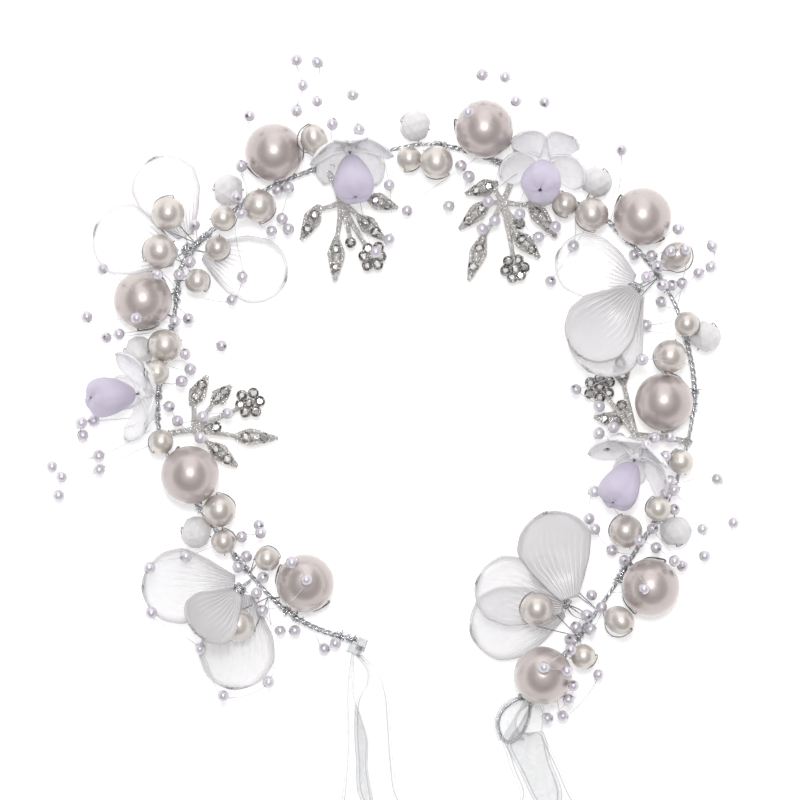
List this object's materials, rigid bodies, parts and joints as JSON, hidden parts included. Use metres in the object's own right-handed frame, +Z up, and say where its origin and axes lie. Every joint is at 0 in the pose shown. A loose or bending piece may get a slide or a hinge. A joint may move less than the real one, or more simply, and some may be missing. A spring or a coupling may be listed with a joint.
{
  "type": "flower crown",
  "caption": "Open circlet of twisted silver wire carrying pearls, ribbed translucent petals, bell flowers, jewelled leaf sprays and beaded nylon loops, tied at the back with ribbons.",
  "frame": {"origin": "middle of the head opening, on the surface the crown lies on", "axes": "+Z up out of that surface, +Y towards the front of the crown, -Y towards the ribbons and the opening at the back"},
  "size_m": [0.1668, 0.2309, 0.025],
  "materials": {
    "silver_wire": "bright drawn jewellery wire, twisted",
    "pin_wire": "thin head pin",
    "big_pearl": "taupe ivory pearl coating, high lustre",
    "cream_pearl": "cream pearl coating, high lustre",
    "frosted_bead": "frosted, slightly translucent",
    "seed_pearl": "lavender white pearl coating",
    "white_flower": "frosted pearly white",
    "lilac_bell": "matte lilac",
    "clear_petal": "translucent white, ribbed",
    "silver_leaf": "cast and plated, grained",
    "rhinestone": "cut glass",
    "nylon": "clear line",
    "organza": "sheer white organza"
  },
  "bodies": {
    "crown_left": {"band_wire_left": "silver_wire", "binding_wire_left": "silver_wire", "pearl_wires_left": "silver_wire", "bead_stems_left": "silver_wire", "flower_pins_left": "pin_wire", "cream_pearls_left": "cream_pearl", "small_pearls_left": "cream_pearl", "rice_pearls_left": "cream_pearl", "frosted_beads_left": "frosted_bead", "nylon_lines_left": "nylon", "seed_beads_left": "seed_pearl", "rhinestones_left": "rhinestone", "ribbon_left": "organza", "front_left_petal_1": "clear_petal", "front_left_petal_2": "clear_petal", "front_left_petal_3": "clear_petal", "back_left_petal_1": "clear_petal", "back_left_petal_2": "clear_petal", "back_left_petal_3": "clear_petal", "flower_cap_front_left": "white_flower", "flower_bell_front_left": "lilac_bell", "leaf_spray_front_left": "silver_leaf", "flower_cap_side_left": "white_flower", "flower_bell_side_left": "lilac_bell", "leaf_spray_side_left": "silver_leaf"},
    "crown_right": {"band_wire_right": "silver_wire", "binding_wire_right": "silver_wire", "pearl_wires_right": "silver_wire", "bead_stems_right": "silver_wire", "flower_pins_right": "pin_wire", "cream_pearls_right": "cream_pearl", "small_pearls_right": "cream_pearl", "rice_pearls_right": "cream_pearl", "frosted_beads_right": "frosted_bead", "nylon_lines_right": "nylon", "seed_beads_right": "seed_pearl", "rhinestones_right": "rhinestone", "ribbon_right": "organza", "front_right_petal_1": "clear_petal", "front_right_petal_2": "clear_petal", "front_right_petal_3": "clear_petal", "back_right_petal_1": "clear_petal", "back_right_petal_2": "clear_petal", "back_right_petal_3": "clear_petal", "flower_cap_front_right": "white_flower", "flower_bell_front_right": "lilac_bell", "leaf_spray_front_right": "silver_leaf", "flower_cap_side_right": "white_flower", "flower_bell_side_right": "lilac_bell", "leaf_spray_side_right": "silver_leaf", "ribbon_eyelet": "silver_wire"},
    "pearl_front_left": {"pearl_front_left": "big_pearl"},
    "pearl_side_left": {"pearl_side_left": "big_pearl"},
    "pearl_temple_left": {"pearl_temple_left": "big_pearl"},
    "pearl_end_left": {"pearl_end_left": "big_pearl"},
    "pearl_front_right": {"pearl_front_right": "big_pearl"},
    "pearl_corner_right": {"pearl_corner_right": "big_pearl"},
    "pearl_side_right": {"pearl_side_right": "big_pearl"},
    "pearl_temple_right": {"pearl_temple_right": "big_pearl"},
    "pearl_end_right": {"pearl_end_right": "big_pearl"}
  },
  "joints": [
    {"name": "band_flex", "type": "hinge", "parent": "crown_left", "child": "crown_right", "pos_m": [-0.0085, 0.0605, 0.0025], "axis": [0, 0, 1], "range_deg": [-4, 12]},
    {"name": "pearl_front_left_spin", "type": "hinge", "parent": "crown_left", "child": "pearl_front_left", "pos_m": [-0.0375, 0.0595, 0.00717], "axis": [-0.9251, -0.3798, 0], "continuous": true},
    {"name": "pearl_side_left_spin", "type": "hinge", "parent": "crown_left", "child": "pearl_side_left", "pos_m": [-0.069, 0.024, 0.007], "axis": [-0.1644, -0.9864, 0], "continuous": true},
    {"name": "pearl_temple_left_spin", "type": "hinge", "parent": "crown_left", "child": "pearl_temple_left", "pos_m": [-0.0575, -0.018, 0.01015], "axis": [0.3714, -0.9285, 0], "continuous": true},
    {"name": "pearl_end_left_spin", "type": "hinge", "parent": "crown_left", "child": "pearl_end_left", "pos_m": [-0.03, -0.044, 0.007], "axis": [0.8, -0.6, 0], "continuous": true},
    {"name": "pearl_front_right_spin", "type": "hinge", "parent": "crown_right", "child": "pearl_front_right", "pos_m": [0.013, 0.065, 0.00849], "axis": [0.9475, -0.3198, 0], "continuous": true},
    {"name": "pearl_corner_right_spin", "type": "hinge", "parent": "crown_right", "child": "pearl_corner_right", "pos_m": [0.051, 0.044, 0.00851], "axis": [0.7071, -0.7071, 0], "continuous": true},
    {"name": "pearl_side_right_spin", "type": "hinge", "parent": "crown_right", "child": "pearl_side_right", "pos_m": [0.0562, -0.0005, 0.007], "axis": [-0.0624, -0.9981, 0], "continuous": true},
    {"name": "pearl_temple_right_spin", "type": "hinge", "parent": "crown_right", "child": "pearl_temple_right", "pos_m": [0.053, -0.045, 0.007], "axis": [-0.4961, -0.8682, 0], "continuous": true},
    {"name": "pearl_end_right_spin", "type": "hinge", "parent": "crown_right", "child": "pearl_end_right", "pos_m": [0.027, -0.066, 0.01098], "axis": [-0.774, -0.6332, 0], "continuous": true}
  ]
}
